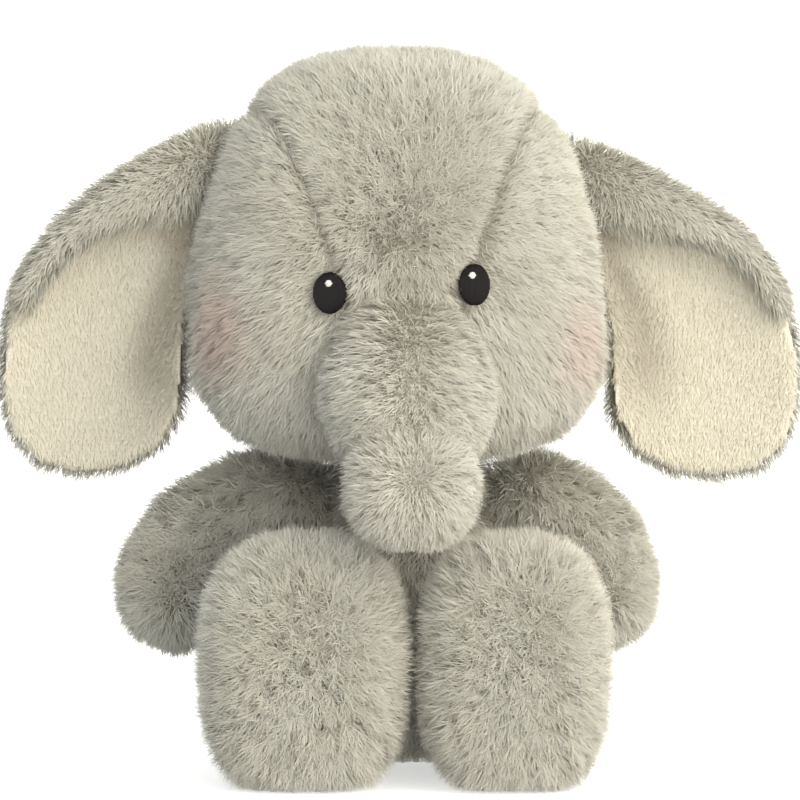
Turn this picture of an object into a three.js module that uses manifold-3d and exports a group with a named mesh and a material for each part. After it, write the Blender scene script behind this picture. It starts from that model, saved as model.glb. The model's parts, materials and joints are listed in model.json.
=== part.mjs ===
// A seated plush elephant, sewn from long-pile fabric panels around loose stuffing.
// Millimetres, +Z up, the floor at z = 0. The face looks along -Y and its right-hand side is +X.
// Every panel is a thick patch: backing cloth and the dense root half of the pile.
import * as THREE from "three";
import { mergeVertices } from "three/addons/utils/BufferGeometryUtils.js";
import Module from "manifold-3d";

const wasm = await Module();
wasm.setup();

// ---------- driving dimensions ----------
const GAP = 0.4; // between pieces that are sewn or packed together
const PLUSH = 4.5; // thickness of a plush panel
const LINING = 3; // thickness of the short-pile ear lining
const SLACK = 1.5; // between a panel and the stuffing behind it
const STAND = [1.7, 20.2]; // moves the toy so that its outline on the floor is centred on the origin
const SOCKET = 1.6; // clearance of a round limb root in the opening that it is sewn into

const HEAD = {
  at: [-3.3, -5.5], // middle of the head on the floor plan
  turn: 3.5, // degrees that the face is turned towards +X
  widest: 137, // height of the widest section
  rise: 97, // from there to the crown
  drop: 31.5, // and to the underside
  halfWidth: 66.5,
  front: 57,
  back: 58,
  taper: 0.1, // how much narrower the crown is than the cheeks
};
const SEAM_AT_CROWN = 36; // half the width of the centre gusset over the crown, degrees
const SEAM_AT_BRIDGE = 20; // and between the eyes
const EYE = { across: 23.8, height: 162.5, halfWidth: 5.3, halfHeight: 6.6, thick: 1.2 };
const EYE_TILT = 1.2; // how much higher the right eye sits, and lower the left
const HIGHLIGHT = { radius: 1.35, thick: 0.7, across: -0.8, up: 3.4 };

const TRUNK = {
  pivot: [-46, 140], // y and z of the middle of the trunk's root
  root: 23,
  opening: 26.8, // radius of the hollow in the face that the root turns in
  // y, z, half width and half height of each section after the root
  sections: [
    [-57, 138.5, 24, 22],
    [-69, 131.5, 26.8, 21.5],
    [-80, 118, 21.2, 20],
    [-88, 105.5, 18.8, 18.8],
    [-96, 98.5, 18.4, 18.6],
    [-103.5, 96.3, 14.5, 14.5],
  ],
  tip: [-108.5, 95.8],
};

const EAR = {
  axis: [60, 6], // x and y of the line that the ear turns on
  middle: [101, 147], // x and z in the middle of the lining
  // x and z round the ear from the root's top, outwards and back under to the root
  outline: [
    [60, 210.5], [74, 204.5], [90, 196.5], [104, 186], [114, 175], [121, 164], [126, 152],
    [128, 138], [127.5, 122], [124, 110], [117, 102], [106, 98.5], [92, 99], [80, 105],
    [73, 115], [70.5, 134], [69.5, 152], [66, 168], [62, 180],
  ],
  reach: { left: 1, right: 1.03 },
  rim: 4.2, // plush that shows past the lining all round
  cup: 8.5, // depth of the hollow in the front of the ear
  slit: { outside: 3, height: 193, radius: 8.6, long: 40 }, // where the root enters the head
  // x, y, z, half height and half depth along the edge that is folded over the top
  fold: [
    [64, 3.5, 197, 12, 5.2],
    [75, 0.5, 193.5, 10.8, 7.5],
    [88, -1, 188.5, 8.6, 7.5],
    [98, 0, 183.5, 6, 6.5],
    [107, 2.5, 176.5, 4.8, 5.5],
    [115, 4.5, 167, 4.2, 5],
    [121, 6, 156.5, 3.8, 4.5],
  ],
  foldStart: [-3.5, 0.5, 0], // from the fold's first section to its closed end
  foldEnd: [1, 1, -8], // and from its last section
};

const BODY = {
  at: [1.8, 14.5],
  widest: 30,
  top: 103,
  halfWidth: 40,
  front: 33,
  back: 40,
  square: 2.4, // how square the shoulders are: 2 would be round
  tuck: 0.16, // how much narrower the torso is at the floor
};
const SIDE_SEAM = 78; // degrees from the front to the torso's side seams
const SEAT_HEIGHT = 9; // where the walls of the torso meet the seat panel
const SEAT_RINGS = [0, 0.45, 0.86]; // the flat base's rings as shares of the seat's outline
const PELLETS = { at: 17, radius: 25, height: 22, above: 0.3 }; // y of the middle, size, and clearance
const UNDER_BAG = 8; // the stuffing is left open this far below the bag

const NECK = { at: [-1, 4.5, 104], radius: 15 };

const ARM = {
  shoulder: [36.5, 8.5, 84], // from the middle of the torso, except for its height
  root: 16.5,
  reach: { left: 78, right: 62 },
  // share of the way to the hand, y, z and radius
  sections: [[0.42, 9, 81, 17.5], [0.78, 8, 71.5, 18.4], [1, 7, 57, 17.8], [1, 6.5, 45.5, 15]],
  tip: [0.95, 6, 37],
};

const LEG = {
  hip: [32.5, -11.5, 33],
  root: 22,
  // y, half width and height of each section, and the outward shift of its middle
  sections: [
    [-22, 21.8, 60, 0], [-32, 24.5, 68, 0.3], [-47, 28, 76, 0.5], [-63, 30.3, 81.5, 0.7],
    [-81, 30.5, 82, 0.7], [-88, 27.5, 77.5, 0.7],
  ],
  sole: { y: -88.6, crown: 5.5, thick: 4 },
};

const TAIL = {
  root: [1.8, 56, 42],
  radius: 6.5,
  sections: [[62, 36, 6], [66.5, 28, 5.4], [69.5, 20, 6.2]],
  tip: [72, 10],
};
const LABEL = { wide: 13, tall: 20, thick: 0.8, bottom: 14, angle: -112, turn: 12, off: 2 };
const ROOT_ROUNDING = [65, 32]; // degrees round the ball end of a limb's stuffing

// ---------- materials ----------
const COLOURS = {
  plush: "#bcb9ae",
  lining: "#e2dccd",
  stuffing: "#f2f1ec",
  pellets: "#d8d4c8",
  eye: "#151212",
  highlight: "#f4f4f4",
  label: "#ece9e2",
};
const ROUGHNESS = {
  plush: 0.95,
  lining: 0.9,
  stuffing: 1,
  pellets: 0.8,
  eye: 0.45,
  highlight: 0.4,
  label: 0.6,
};

// ---------- small helpers ----------
const { abs, cos, sin, min, max, PI } = Math;
const BISECTIONS = 40; // halvings in a search along a line for the surface
const rad = THREE.MathUtils.degToRad;
const lerp = THREE.MathUtils.lerp;
const vec = (x, y, z) => new THREE.Vector3(x, y, z);

function addMesh(group, name, finish, geometry) {
  const material = new THREE.MeshStandardMaterial({
    color: COLOURS[finish],
    roughness: ROUGHNESS[finish],
    metalness: 0,
  });
  const mesh = new THREE.Mesh(geometry, material);
  mesh.name = name;
  group.add(mesh);
}

// Vertices and triangles that weld together where they coincide.
class Weld {
  constructor() {
    this.points = [];
    this.triangles = [];
    this.seen = new Map();
  }
  vertex(p) {
    const key = [p.x, p.y, p.z].map((c) => Math.round(c * 1000)).join();
    if (!this.seen.has(key)) {
      this.seen.set(key, this.points.length / 3);
      this.points.push(p.x, p.y, p.z);
    }
    return this.seen.get(key);
  }
  triangle(a, b, c) {
    if (a !== b && b !== c && a !== c) this.triangles.push(a, b, c);
  }
  quad(a, b, c, d) {
    this.triangle(a, b, c);
    this.triangle(a, c, d);
  }
  geometry() {
    return new THREE.BufferGeometry()
      .setAttribute("position", new THREE.Float32BufferAttribute(this.points, 3))
      .setIndex(this.triangles);
  }
}

// A closed patch of cloth: outer(u, v) and inner(u, v) are its faces, with walls round its edge.
// With round true, v runs right round and the patch has no walls along it.
function patch(nu, nv, outer, inner, round = false) {
  const weld = new Weld();
  const sheet = (face) =>
    Array.from({ length: nu + 1 }, (_, i) =>
      Array.from({ length: nv + 1 }, (_, j) => weld.vertex(face(i / nu, round ? (j % nv) / nv : j / nv))),
    );
  const [a, b] = [sheet(outer), sheet(inner)];
  for (let i = 0; i < nu; i++)
    for (let j = 0; j < nv; j++) {
      weld.quad(a[i][j], a[i + 1][j], a[i + 1][j + 1], a[i][j + 1]);
      weld.quad(b[i][j], b[i][j + 1], b[i + 1][j + 1], b[i + 1][j]);
    }
  for (let j = 0; j < nv; j++) {
    weld.quad(a[0][j], a[0][j + 1], b[0][j + 1], b[0][j]);
    weld.quad(a[nu][j + 1], a[nu][j], b[nu][j], b[nu][j + 1]);
  }
  if (!round)
    for (let i = 0; i < nu; i++) {
      weld.quad(a[i + 1][0], a[i][0], b[i][0], b[i + 1][0]);
      weld.quad(a[i][nv], a[i + 1][nv], b[i + 1][nv], b[i][nv]);
    }
  return outwards(weld.geometry());
}

// A closed solid skinned over rings of points, with a single point at each end.
function skin(first, rings, last) {
  const weld = new Weld();
  const count = rings[0].length;
  const index = rings.map((ring) => ring.map((p) => weld.vertex(p)));
  const [start, end] = [weld.vertex(first), weld.vertex(last)];
  for (let j = 0; j < count; j++) {
    const k = (j + 1) % count;
    weld.triangle(start, index[0][j], index[0][k]);
    for (let i = 0; i + 1 < index.length; i++)
      weld.quad(index[i][j], index[i + 1][j], index[i + 1][k], index[i][k]);
    weld.triangle(end, index.at(-1)[k], index.at(-1)[j]);
  }
  return outwards(weld.geometry());
}

// Turns a closed surface round if its faces point in.
function outwards(geometry) {
  const p = geometry.attributes.position;
  const t = geometry.index.array;
  const corner = (k) => new THREE.Vector3().fromBufferAttribute(p, k);
  let volume = 0;
  for (let i = 0; i < t.length; i += 3)
    volume += corner(t[i]).dot(corner(t[i + 1]).cross(corner(t[i + 2])));
  if (volume < 0) {
    for (let i = 0; i < t.length; i += 3)
      [t[i + 1], t[i + 2]] = [t[i + 2], t[i + 1]];
  }
  return geometry;
}

function solid(geometry) {
  const g = (geometry.index ? geometry : mergeVertices(geometry)).clone();
  g.deleteAttribute("normal");
  g.deleteAttribute("uv");
  const merged = mergeVertices(g, 1e-4);
  return new wasm.Manifold(
    new wasm.Mesh({
      numProp: 3,
      vertProperties: merged.attributes.position.array,
      triVerts: new Uint32Array(merged.index.array),
    }),
  );
}

// A manifold-3d solid as a three.js geometry: its largest piece, because a cut can leave slivers.
function geometryOf(made) {
  const largest = made.decompose().reduce((a, b) => (a.volume() > b.volume() ? a : b));
  const mesh = largest.getMesh();
  return new THREE.BufferGeometry()
    .setAttribute("position", new THREE.Float32BufferAttribute(mesh.vertProperties, 3))
    .setIndex(new THREE.BufferAttribute(mesh.triVerts, 1));
}

const cut = (geometry, ...knives) =>
  geometryOf(knives.reduce((left, knife) => left.subtract(knife), solid(geometry)));

function ball([x, y, z], radius) {
  return solid(new THREE.IcosahedronGeometry(radius, 2).translate(x, y, z));
}

function ellipsoid([x, y, z], [a, b, c], around = 16, down = 10) {
  return new THREE.SphereGeometry(1, around, down).scale(a, b, c).translate(x, y, z);
}

// ---------- head ----------
// How wide a section of the head is at a height, as a share of the widest one.
function headShare(z) {
  const up = (z - HEAD.widest) / HEAD.rise;
  if (up >= 0) return (1 - HEAD.taper * up) * max(0, 1 - up ** 3) ** (1 / 3);
  return max(0, 1 - ((HEAD.widest - z) / HEAD.drop) ** 3) ** (1 / 3);
}

function insideHead(p, inset) {
  const middle = HEAD.widest;
  const z = middle + (p.z - middle) * (1 + inset / (p.z > middle ? HEAD.rise : HEAD.drop));
  const share = headShare(z);
  const width = HEAD.halfWidth * share - inset;
  const depth = (p.y < 0 ? HEAD.front : HEAD.back) * share - inset;
  if (width <= 0 || depth <= 0) return false;
  return (abs(p.x) / width) ** 2.3 + (abs(p.y) / depth) ** 2.3 < 1;
}

const headCore = vec(0, 0, HEAD.widest + 12);

// The head's surface seen from its core: tilt turns over the top from the face (0) through the
// crown (90) and nape (180) to the chin (270), and side runs from -90 to 90 across the head.
function headPoint(tilt, side, inset) {
  const [t, s] = [rad(tilt), rad(side)];
  const along = vec(sin(s), -cos(s) * cos(t), cos(s) * sin(t));
  let [near, far] = [0, 150];
  for (let i = 0; i < BISECTIONS; i++) {
    const middle = (near + far) / 2;
    const inside = insideHead(headCore.clone().addScaledVector(along, middle), inset);
    if (inside) near = middle;
    else far = middle;
  }
  return headCore.clone().addScaledVector(along, near);
}

// The gusset's half width in degrees at a tilt: narrow at the bridge and the nape, wide on the crown.
const GUSSET_FROM = -12;
const GUSSET_TO = 208;
const GUSSET_STEPS = 20;
const CROWN_TILT = 95;
const CHIN_STEPS = 7;
const SEAM_GAP_DEGREES = 0.25;
function gussetSeam(tilt) {
  if (tilt > CROWN_TILT) {
    const fall = THREE.MathUtils.smoothstep(tilt, CROWN_TILT, GUSSET_TO);
    return lerp(SEAM_AT_CROWN, SEAM_AT_BRIDGE * 0.6, fall);
  }
  const share = (tilt - GUSSET_FROM) / (CROWN_TILT - GUSSET_FROM);
  return lerp(SEAM_AT_BRIDGE * 0.9, SEAM_AT_CROWN, share ** 1.7);
}
const gussetTilt = (i) => lerp(GUSSET_FROM, GUSSET_TO, i / GUSSET_STEPS);

function headGusset() {
  const face = (inset) => (u, v) => {
    const i = Math.round(u * GUSSET_STEPS);
    const ends = { 0: SEAM_GAP_DEGREES * 2, [GUSSET_STEPS]: -SEAM_GAP_DEGREES * 2 };
    const seam = gussetSeam(gussetTilt(i)) - SEAM_GAP_DEGREES;
    return headPoint(gussetTilt(i) + (ends[i] ?? 0), seam * (2 * v - 1), inset);
  };
  return patch(GUSSET_STEPS, 8, face(0), face(PLUSH));
}

// A side panel meets the gusset over the top and the other side panel under the chin.
function headSide(sign) {
  const beyond = 360 - (GUSSET_TO - GUSSET_FROM);
  const edge = [];
  for (let i = 0; i <= GUSSET_STEPS; i++)
    edge.push([gussetTilt(i), gussetSeam(gussetTilt(i))]);
  for (let i = 0; i <= CHIN_STEPS; i++)
    edge.push([GUSSET_TO + lerp(0.3, beyond - 0.3, i / CHIN_STEPS), 0]);
  const face = (inset) => (u, v) => {
    const [tilt, seam] = edge[Math.round(v * edge.length)];
    return headPoint(tilt, sign * lerp(seam + SEAM_GAP_DEGREES, 90, u), inset);
  };
  return patch(5, edge.length, face(0), face(PLUSH), true);
}

function headStuffing() {
  const inset = PLUSH + 2 * SLACK;
  const rings = [];
  for (let i = 1; i < 12; i++) {
    const side = -90 + (180 * i) / 12;
    rings.push(Array.from({ length: 18 }, (_, j) => headPoint(20 * j, side, inset)));
  }
  return skin(headPoint(0, -90, inset), rings, headPoint(0, 90, inset));
}

// The y of the head's front surface under a point of the face.
function facePoint(x, z) {
  let [near, far] = [0, -HEAD.front - 5];
  for (let i = 0; i < BISECTIONS; i++) {
    const middle = (near + far) / 2;
    if (insideHead(vec(x, middle, z), 0)) near = middle;
    else far = middle;
  }
  return near;
}

// An embroidered oval lying on the face, as a shallow dome that follows the surface.
function faceOval(x, z, halfWidth, halfHeight, from, thick) {
  const face = (height) => (u, v) => {
    const [px, pz] = [x + halfWidth * u * cos(2 * PI * v), z + halfHeight * u * sin(2 * PI * v)];
    return vec(px, facePoint(px, pz) - from - height * (1 - 0.6 * u ** 4), pz);
  };
  return patch(2, 14, face(thick), face(0), true);
}

// ---------- tubes of plush: trunk, arms, legs and tail ----------
// A tube's section i: its middle, the two half sizes, and the direction of the path there.
function frames(middles, halves, across) {
  return middles.map((middle, i) => {
    const before = middles[max(0, i - 1)];
    const after = middles[min(middles.length - 1, i + 1)];
    const along = after.clone().sub(before).normalize();
    const up = new THREE.Vector3().crossVectors(along, across).normalize();
    const side = new THREE.Vector3().crossVectors(up, along).normalize();
    return { middle, side, up, half: halves[i], along };
  });
}

function onFrame(frame, angle, inset) {
  const [a, b] = frame.half;
  return frame.middle
    .clone()
    .addScaledVector(frame.side, (a - inset) * cos(angle))
    .addScaledVector(frame.up, (b - inset) * sin(angle));
}

// One panel of a tube, from seam to seam and over half of its closed tip.
function tubePanel(sections, tip, from, to, thick, around = 6) {
  const last = sections.at(-1);
  const innerTip = tip.clone().addScaledVector(last.along, -thick);
  const count = sections.length;
  const face = (inset, end) => (u, v) => {
    const i = Math.round(u * count);
    const angle = lerp(from, to, v);
    const middle = (from + to) / 2;
    // At the tip the gap is kept by moving the panel's end away from the seam.
    if (i === count) {
      const away = vec(0, 0, 0)
        .addScaledVector(last.side, cos(middle))
        .addScaledVector(last.up, sin(middle));
      return end.clone().addScaledVector(away, GAP / 2);
    }
    return onFrame(sections[i], angle, inset);
  };
  return patch(count, around, face(0, tip), face(thick, innerTip));
}

// The stuffing in a tube: a round root, the sections and a closed tip.
function tubeStuffing(sections, tip, inset, around = 12) {
  const ring = (frame) =>
    Array.from({ length: around }, (_, j) => onFrame(frame, (2 * PI * j) / around, inset));
  const root = sections[0];
  const back = (share) => ({
    ...root,
    middle: root.middle.clone().addScaledVector(root.along, -(root.half[0] - inset) * sin(share)),
    half: root.half.map((h) => (h - inset) * cos(share) + inset),
  });
  const rings = [...ROOT_ROUNDING.map((a) => back(rad(a))), ...sections].map(ring);
  const start = root.middle.clone().addScaledVector(root.along, inset - root.half[0]);
  const end = tip.clone().addScaledVector(sections.at(-1).along, -inset);
  return skin(start, rings, end);
}

function seams(radius) {
  return (GAP / 2 + 0.02) / radius; // half a seam's gap as an angle
}

// ---------- trunk ----------
function trunkSections() {
  const [y, z] = TRUNK.pivot;
  const middles = [vec(0, y, z), ...TRUNK.sections.map((s) => vec(0, s[0], s[1]))];
  const halves = [[TRUNK.root, TRUNK.root], ...TRUNK.sections.map((s) => [s[2], s[3]])];
  return frames(middles, halves, vec(1, 0, 0));
}

function buildTrunk(group) {
  const sections = trunkSections();
  const tip = vec(0, ...TRUNK.tip);
  const s = seams(14);
  const half = PI / 2;
  addMesh(group, "trunk_panel_right", "plush", tubePanel(sections, tip, -half + s, half - s, PLUSH));
  addMesh(group, "trunk_panel_left", "plush", tubePanel(sections, tip, half + s, 3 * half - s, PLUSH));
  addMesh(group, "trunk_stuffing", "stuffing", tubeStuffing(sections, tip, PLUSH + SLACK));
}

// ---------- ears ----------
const earOutline = new THREE.CatmullRomCurve3(
  EAR.outline.map(([x, z]) => vec(x, 0, z)),
  true,
  "centripetal",
);

// A point of the ear at a share of the way from its middle to its edge, pulled in by a margin.
function earPlan(around, share, margin) {
  const edge = earOutline.getPointAt(around % 1);
  const [mx, mz] = EAR.middle;
  const out = new THREE.Vector2(edge.x - mx, edge.z - mz);
  out.setLength(max(0, out.length() - margin) * share);
  return [mx + out.x, mz + out.y];
}

// How far back the ear's middle layer lies: cupped, with its lower lobe a little further back.
function earDepth(x, z) {
  const [mx, mz] = EAR.middle;
  const off = min(1, Math.hypot((x - mx) / 32, (z - mz) / 52));
  return 7 + EAR.cup * (1 - off ** 2) + 0.03 * (mz - z);
}

function earSheet(front, back, margin, rings, around) {
  const face = (shift) => (u, v) => {
    const [x, z] = earPlan(v, u, margin);
    return vec(x, earDepth(x, z) + shift, z);
  };
  return patch(rings, around, face(front), face(back), true);
}

function earFold(margin) {
  const middles = EAR.fold.map(([x, y, z]) => vec(x, y, z));
  const halves = EAR.fold.map((f) => [f[4] + margin, f[3] + margin]);
  const sections = frames(middles, halves, vec(0, 1, 0));
  const rings = sections.map((f) =>
    Array.from({ length: 10 }, (_, j) => onFrame(f, (2 * PI * j) / 10, 0)),
  );
  const start = middles[0].clone().add(vec(...EAR.foldStart));
  const end = middles.at(-1).clone().add(vec(...EAR.foldEnd));
  return skin(start, rings, end);
}

function buildEar(group, side, sign) {
  const stretch = sign * EAR.reach[side];
  const place = (geometry) => outwards(geometry.scale(stretch, 1, 1));
  const behind = 3 * GAP;
  const sheet = earSheet(behind, behind + PLUSH, 0, 4, 22);
  const outer = geometryOf(solid(sheet).add(solid(earFold(0))));
  const lining = cut(earSheet(-LINING, 0, EAR.rim, 4, 22), solid(earFold(1)));
  addMesh(group, `ear_outer_${side}`, "plush", place(outer));
  addMesh(group, `ear_lining_${side}`, "lining", place(lining));
}

// The slit in the side of the head that an ear's root is sewn into.
function earSlit(side, sign) {
  const [x, y] = EAR.axis;
  const { outside, height, radius, long } = EAR.slit;
  const slit = new THREE.CylinderGeometry(radius, radius, long, 20).rotateX(PI / 2);
  slit.translate(sign * EAR.reach[side] * (x + outside), y, height);
  return solid(slit);
}

// ---------- torso ----------
function bodyShare(z) {
  const { widest, top, square, tuck } = BODY;
  if (z > widest) return max(0, 1 - ((z - widest) / (top - widest)) ** square) ** (1 / square);
  return 1 - tuck * ((widest - z) / widest) ** square;
}

// A point on the torso's wall: angle from the front towards +X, and height.
function bodyPoint(angle, z, inset) {
  const share = bodyShare(z + (z > BODY.widest ? inset : 0));
  const width = max(0.01, BODY.halfWidth * share - inset);
  const depth = max(0.01, (cos(angle) > 0 ? BODY.front : BODY.back) * share - inset);
  const r = ((abs(sin(angle)) / width) ** 2.2 + (abs(cos(angle)) / depth) ** 2.2) ** (-1 / 2.2);
  return vec(r * sin(angle), -r * cos(angle), z);
}

function bodyPanel(from, to, columns) {
  const gap = rad(0.35);
  const face = (inset) => (u, v) => {
    const top = BODY.top - inset - 2;
    const z = lerp(SEAT_HEIGHT + GAP / 2, top, sin((u * PI) / 2));
    return bodyPoint(lerp(rad(from) + gap, rad(to) - gap, v), z, inset);
  };
  return patch(8, columns, face(0), face(PLUSH));
}

// The seat: a flat base whose rim turns up to meet the walls.
function seatPanel() {
  const face = (inset) => (u, v) => {
    const top = SEAT_HEIGHT - GAP / 2;
    const base = min(inset, PLUSH);
    const rim = bodyPoint(2 * PI * v, SEAT_HEIGHT, inset);
    if (u > 0.99) return rim.setZ(top);
    const share = SEAT_RINGS[Math.round(u * SEAT_RINGS.length)];
    return rim.multiplyScalar(share).setZ(base);
  };
  return patch(SEAT_RINGS.length, 24, face(0), face(PLUSH), true);
}

function bodyStuffing() {
  const inset = PLUSH + SLACK;
  const levels = [inset, 30, 48, 64, 77, 87, 93];
  const rings = levels.map((z) =>
    Array.from({ length: 16 }, (_, j) => {
      const p = bodyPoint((2 * PI * j) / 16, max(z, SEAT_HEIGHT), inset);
      return p.multiplyScalar(z < SEAT_HEIGHT ? SEAT_RINGS.at(-1) : 1).setZ(z);
    }),
  );
  return skin(vec(0, 0, inset), rings, vec(0, 0, BODY.top - inset - 3));
}

// The bag of pellets that weights the seat, or the room that it needs with a margin round it.
function pelletBag(margin) {
  const profile = [];
  const half = PELLETS.height / 2;
  const middle = PLUSH + GAP + half + PELLETS.above;
  for (let i = 0; i <= 8; i++) {
    const a = -PI / 2 + (PI * i) / 8;
    const z = (half + margin) * Math.sign(sin(a)) * abs(sin(a)) ** 0.8;
    const r = i % 8 ? (PELLETS.radius + margin) * cos(a) ** 0.6 : 0;
    profile.push(new THREE.Vector2(r, middle + z));
  }
  return new THREE.LatheGeometry(profile, 16).rotateX(PI / 2).translate(0, PELLETS.at - BODY.at[1], 0);
}

// ---------- arms, legs and tail ----------
function armSections(side, sign) {
  const [x, y, z] = ARM.shoulder;
  const reach = ARM.reach[side];
  const at = (share) => sign * lerp(x, reach, share);
  const middles = [vec(sign * x, y, z), ...ARM.sections.map((s) => vec(at(s[0]), s[1], s[2]))];
  const halves = [[ARM.root, ARM.root], ...ARM.sections.map((s) => [s[3], s[3]])];
  const [share, ty, tz] = ARM.tip;
  return [frames(middles, halves, vec(0, -1, 0)), vec(at(share), ty, tz)];
}

function buildArm(group, side, sign) {
  const [sections, tip] = armSections(side, sign);
  const s = seams(13);
  const half = PI / 2;
  addMesh(group, `arm_front_${side}`, "plush", tubePanel(sections, tip, -half + s, half - s, PLUSH, 5));
  addMesh(group, `arm_back_${side}`, "plush", tubePanel(sections, tip, half + s, 3 * half - s, PLUSH, 5));
  addMesh(group, `arm_stuffing_${side}`, "stuffing", tubeStuffing(sections, tip, PLUSH + SLACK, 10));
}

// A point on a leg's section: a rounded rectangle that stands on the floor.
function legPoint([y, halfWidth, height, shift], angle, inset, sign) {
  const power = 2 / 2.7;
  const bend = (c) => Math.sign(c) * abs(c) ** power;
  const x = (halfWidth - inset) * bend(cos(angle));
  const z = height / 2 - 1 + (height / 2 + 1 - inset) * bend(sin(angle));
  return vec(sign * (LEG.hip[0] + shift) + x, y, max(z, inset));
}

function buildLeg(group, side, sign) {
  const [, y, z] = LEG.hip;
  const root = (angle, inset) =>
    vec(
      sign * LEG.hip[0] + (LEG.root - inset) * cos(angle),
      y,
      z + (LEG.root - inset) * sin(angle),
    );
  const rows = LEG.sections.length;
  const s = seams(16);
  const half = PI / 2;
  const panel = (from, to) => {
    const face = (inset) => (u, v) => {
      const i = Math.round(u * rows);
      const angle = lerp(from, to, v);
      return i ? legPoint(LEG.sections[i - 1], angle, inset, sign) : root(angle, inset);
    };
    return patch(rows, 8, face(0), face(PLUSH));
  };
  const [plusX, minusX] = sign > 0 ? ["outer", "inner"] : ["inner", "outer"];
  addMesh(group, `leg_${plusX}_${side}`, "plush", panel(-half + s, half - s));
  addMesh(group, `leg_${minusX}_${side}`, "plush", panel(half + s, 3 * half - s));

  const inset = PLUSH + SLACK;
  const around = Array.from({ length: 14 }, (_, j) => (2 * PI * j) / 14);
  const rounded = (share) =>
    around.map((a) => {
      const p = root(a, inset);
      const middle = vec(sign * LEG.hip[0], y, z);
      const r = (LEG.root - inset) * sin(share);
      return p.sub(middle).multiplyScalar(cos(share)).add(middle).add(vec(0, r, 0));
    });
  const rings = [...ROOT_ROUNDING, 0].map((a) => rounded(rad(a)));
  for (const section of LEG.sections)
    rings.push(around.map((a) => legPoint(section, a, inset, sign)));
  const last = LEG.sections.at(-1);
  addMesh(
    group,
    `leg_stuffing_${side}`,
    "stuffing",
    skin(
      vec(sign * LEG.hip[0], y + LEG.root - inset, z),
      rings,
      vec(sign * (LEG.hip[0] + last[3]), last[0] - 0.5, last[2] / 2),
    ),
  );

  const { y: soleY, crown, thick } = LEG.sole;
  const sole = (front) => (u, v) => {
    const rim = legPoint(last, 2 * PI * v, front ? 0 : 0.3, sign);
    const middle = vec(sign * (LEG.hip[0] + last[3]), 0, last[2] / 2 - 0.5);
    const p = rim.sub(middle).multiplyScalar(u).add(middle);
    return p.setY(soleY - (front ? crown * (1 - u ** 2.6) + thick * (1 - u ** 8) + 0.4 : 0));
  };
  addMesh(group, `foot_sole_${side}`, "plush", patch(4, 16, sole(true), sole(false), true));
}

function buildTail(group) {
  const [x, y, z] = TAIL.root;
  const middles = [vec(x, y, z), ...TAIL.sections.map((s) => vec(x, s[0], s[1]))];
  const halves = [TAIL.radius, ...TAIL.sections.map((s) => s[2])].map((r) => [r, r]);
  const sections = frames(middles, halves, vec(1, 0, 0));
  addMesh(group, "tail", "plush", tubeStuffing(sections, vec(x, ...TAIL.tip), 0, 10));
}

// ---------- assembly ----------
const elephant = new THREE.Group();
elephant.name = "plush_elephant";
elephant.position.set(...STAND, 0);
elephant.updateMatrixWorld(true);
const sides = [["left", -1], ["right", 1]];

const headGroup = new THREE.Group();
headGroup.position.set(HEAD.at[0], HEAD.at[1], 0);
headGroup.rotation.z = rad(HEAD.turn);
elephant.add(headGroup);
headGroup.updateMatrixWorld(true);

const neckInHead = headGroup.worldToLocal(elephant.localToWorld(vec(...NECK.at))).toArray();
const headOpenings = [
  ball([0, ...TRUNK.pivot], TRUNK.opening),
  ball(neckInHead, NECK.radius + 1),
  ...sides.map(([side, sign]) => earSlit(side, sign)),
];
addMesh(headGroup, "head_centre_gusset", "plush", cut(headGusset(), ...headOpenings));
for (const [side, sign] of sides)
  addMesh(headGroup, `head_side_${side}`, "plush", cut(headSide(sign), ...headOpenings));
addMesh(headGroup, "head_stuffing", "stuffing", cut(headStuffing(), ...headOpenings));
for (const [side, sign] of sides) {
  const [x, z] = [sign * EYE.across, EYE.height + sign * EYE_TILT];
  const top = facePoint(x, z);
  const eye = faceOval(x, z, EYE.halfWidth, EYE.halfHeight, GAP, EYE.thick);
  addMesh(headGroup, `eye_${side}`, "eye", eye);
  const { radius, thick, across, up } = HIGHLIGHT;
  const dot = [x + across, top - 2 * GAP - EYE.thick - thick, z + up];
  const spark = ellipsoid(dot, [radius, thick, radius], 10, 5);
  addMesh(headGroup, `eye_highlight_${side}`, "highlight", spark);
  buildEar(headGroup, side, sign);
}
buildTrunk(headGroup);
const neck = new THREE.IcosahedronGeometry(NECK.radius, 2).translate(...NECK.at);
addMesh(elephant, "neck_stuffing", "stuffing", neck);

const torso = new THREE.Group();
torso.position.set(BODY.at[0], BODY.at[1], 0);
elephant.add(torso);
const inTorso = ([x, y, z]) => [x - BODY.at[0], y - BODY.at[1], z];
const limbs = new THREE.Group();
limbs.position.set(BODY.at[0], 0, 0);
elephant.add(limbs);
const bodyOpenings = [
  ball(inTorso(NECK.at), NECK.radius + 1),
  ball(inTorso(TAIL.root), TAIL.radius + SOCKET),
];
for (const [, sign] of sides) {
  const [hx, hy, hz] = LEG.hip;
  const [ax, ay, az] = ARM.shoulder;
  bodyOpenings.push(ball([sign * hx, hy - BODY.at[1], hz], LEG.root + 2.6 * SOCKET));
  bodyOpenings.push(ball([sign * ax, ay - BODY.at[1], az], ARM.root + SOCKET));
}
addMesh(torso, "body_front", "plush", cut(bodyPanel(-SIDE_SEAM, SIDE_SEAM, 8), ...bodyOpenings));
addMesh(torso, "body_back_right", "plush", cut(bodyPanel(SIDE_SEAM, 180, 6), ...bodyOpenings));
addMesh(torso, "body_back_left", "plush", cut(bodyPanel(-180, -SIDE_SEAM, 6), ...bodyOpenings));
addMesh(torso, "seat_panel", "plush", cut(seatPanel(), ...bodyOpenings));
const bagRoom = solid(pelletBag(GAP)).add(solid(pelletBag(GAP).translate(0, 0, -UNDER_BAG)));
addMesh(torso, "seat_pellet_bag", "pellets", cut(pelletBag(0), ...bodyOpenings));
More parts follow.
